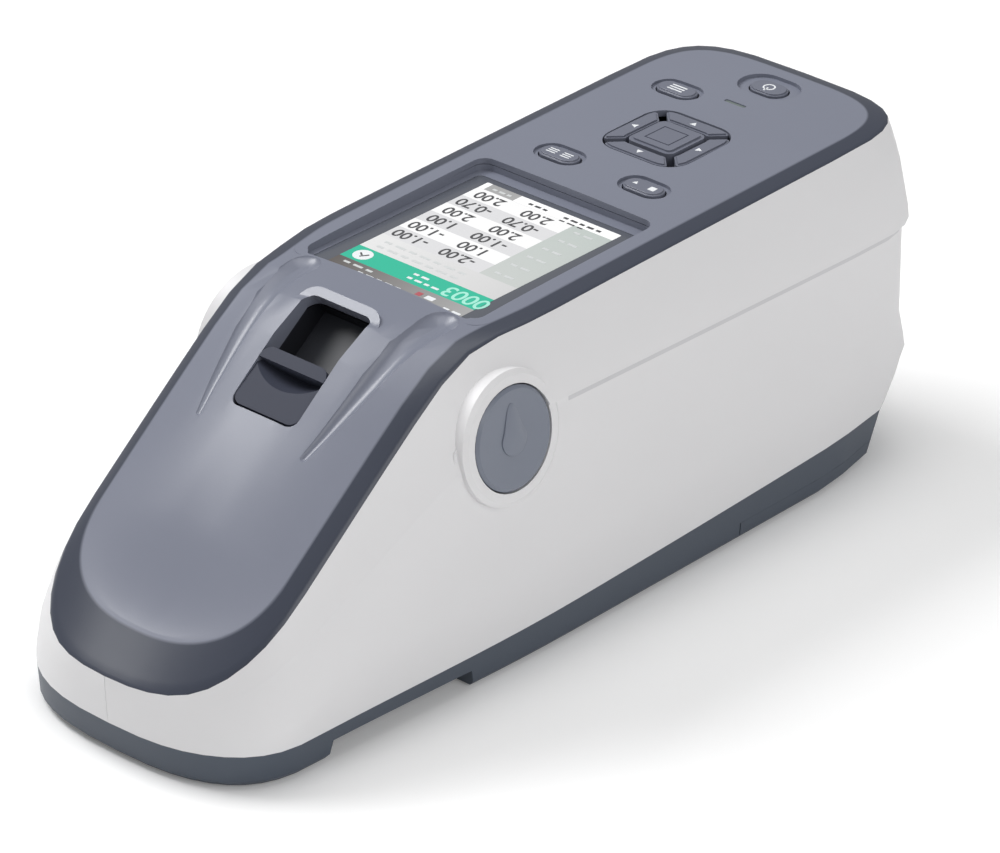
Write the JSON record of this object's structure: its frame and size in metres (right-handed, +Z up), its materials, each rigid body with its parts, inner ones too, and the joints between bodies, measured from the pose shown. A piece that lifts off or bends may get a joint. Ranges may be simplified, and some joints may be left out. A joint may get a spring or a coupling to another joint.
{
  "type": "portable colorimeter",
  "caption": "Long handheld colorimeter lying on its base: sloping nose over the measuring port, sunk display, keypad, viewer slide and side measure buttons.",
  "frame": {"origin": "on the bench under the middle of the body", "axes": "+Z up, -Y towards the nose with the measuring port, +Y towards the user's end, +X to the instrument's right as seen from the user's end looking at the nose"},
  "size_m": [0.0826, 0.224, 0.0802],
  "materials": {
    "case": "satin off-white moulding",
    "cover": "satin slate moulding",
    "base": "satin dark slate moulding",
    "mask": "matt black",
    "rubber": "soft matt",
    "window": "clear window over the display",
    "display": "lit colour display",
    "button": "satin, dished",
    "keys": "satin",
    "black_plastic": "matt",
    "viewer_glass": "clear window",
    "sphere": "white diffusing inside",
    "lamp": "clear bulb",
    "board": "solder mask",
    "cell": "printed can, bare of print",
    "contact": "plated spring steel",
    "screw": "zinc plated",
    "light_pipe": "light pipe"
  },
  "bodies": {
    "root": {"case_right": "case", "case_left": "case", "top_cover": "cover", "base": "base", "target_mask": "mask", "feet": "rubber", "display_window": "window", "display_panel": "display", "status_light": "light_pipe", "key_domes": "rubber", "key_board": "board", "switch_right": "black_plastic", "switch_left": "black_plastic", "viewer_well": "black_plastic", "viewer_window": "viewer_glass", "integrating_sphere": "sphere", "optics_bench": "black_plastic", "sensor_unit": "black_plastic", "lamp": "lamp", "main_board": "board", "battery_cells": "cell", "contacts": "contact", "port_block": "black_plastic", "screws": "screw"},
    "up_body": {"up_key": "keys"},
    "down_body": {"down_key": "keys"},
    "left_body": {"left_key": "keys"},
    "right_body": {"right_key": "keys"},
    "enter_body": {"enter_key": "keys"},
    "menu_body": {"menu_key": "keys"},
    "page_body": {"page_key": "keys"},
    "save_body": {"save_key": "keys"},
    "power_body": {"power_key": "keys"},
    "button_right_body": {"button_right": "button"},
    "button_left_body": {"button_left": "button"},
    "slider_body": {"viewer_slider": "keys"},
    "door_body": {"battery_cover": "base"}
  },
  "joints": [
    {"name": "up_press", "type": "slide", "parent": "root", "child": "up_body", "axis": [0, 0, -1], "range_m": [0, 0.0008], "stiffness_N_per_m": 400},
    {"name": "down_press", "type": "slide", "parent": "root", "child": "down_body", "axis": [0, 0, -1], "range_m": [0, 0.0008], "stiffness_N_per_m": 400},
    {"name": "left_press", "type": "slide", "parent": "root", "child": "left_body", "axis": [0, 0, -1], "range_m": [0, 0.0008], "stiffness_N_per_m": 400},
    {"name": "right_press", "type": "slide", "parent": "root", "child": "right_body", "axis": [0, 0, -1], "range_m": [0, 0.0008], "stiffness_N_per_m": 400},
    {"name": "enter_press", "type": "slide", "parent": "root", "child": "enter_body", "axis": [0, 0, -1], "range_m": [0, 0.0008], "stiffness_N_per_m": 400},
    {"name": "menu_press", "type": "slide", "parent": "root", "child": "menu_body", "axis": [0, 0, -1], "range_m": [0, 0.0008], "stiffness_N_per_m": 400},
    {"name": "page_press", "type": "slide", "parent": "root", "child": "page_body", "axis": [0, 0, -1], "range_m": [0, 0.0008], "stiffness_N_per_m": 400},
    {"name": "save_press", "type": "slide", "parent": "root", "child": "save_body", "axis": [0, 0, -1], "range_m": [0, 0.0008], "stiffness_N_per_m": 400},
    {"name": "power_press", "type": "slide", "parent": "root", "child": "power_body", "axis": [0, 0, -1], "range_m": [0, 0.0008], "stiffness_N_per_m": 400},
    {"name": "button_right_press", "type": "slide", "parent": "root", "child": "button_right_body", "axis": [-0.9903, 0, -0.1392], "range_m": [0, 0.0015], "stiffness_N_per_m": 600},
    {"name": "button_left_press", "type": "slide", "parent": "root", "child": "button_left_body", "axis": [0.9903, 0, -0.1392], "range_m": [0, 0.0015], "stiffness_N_per_m": 600},
    {"name": "viewer_slide", "type": "slide", "parent": "root", "child": "slider_body", "axis": [0, 0.809, 0.5878], "range_m": [0, 0.0138]},
    {"name": "door_slide", "type": "slide", "parent": "root", "child": "door_body", "axis": [0, 1, 0], "range_m": [0, 0.055]}
  ]
}
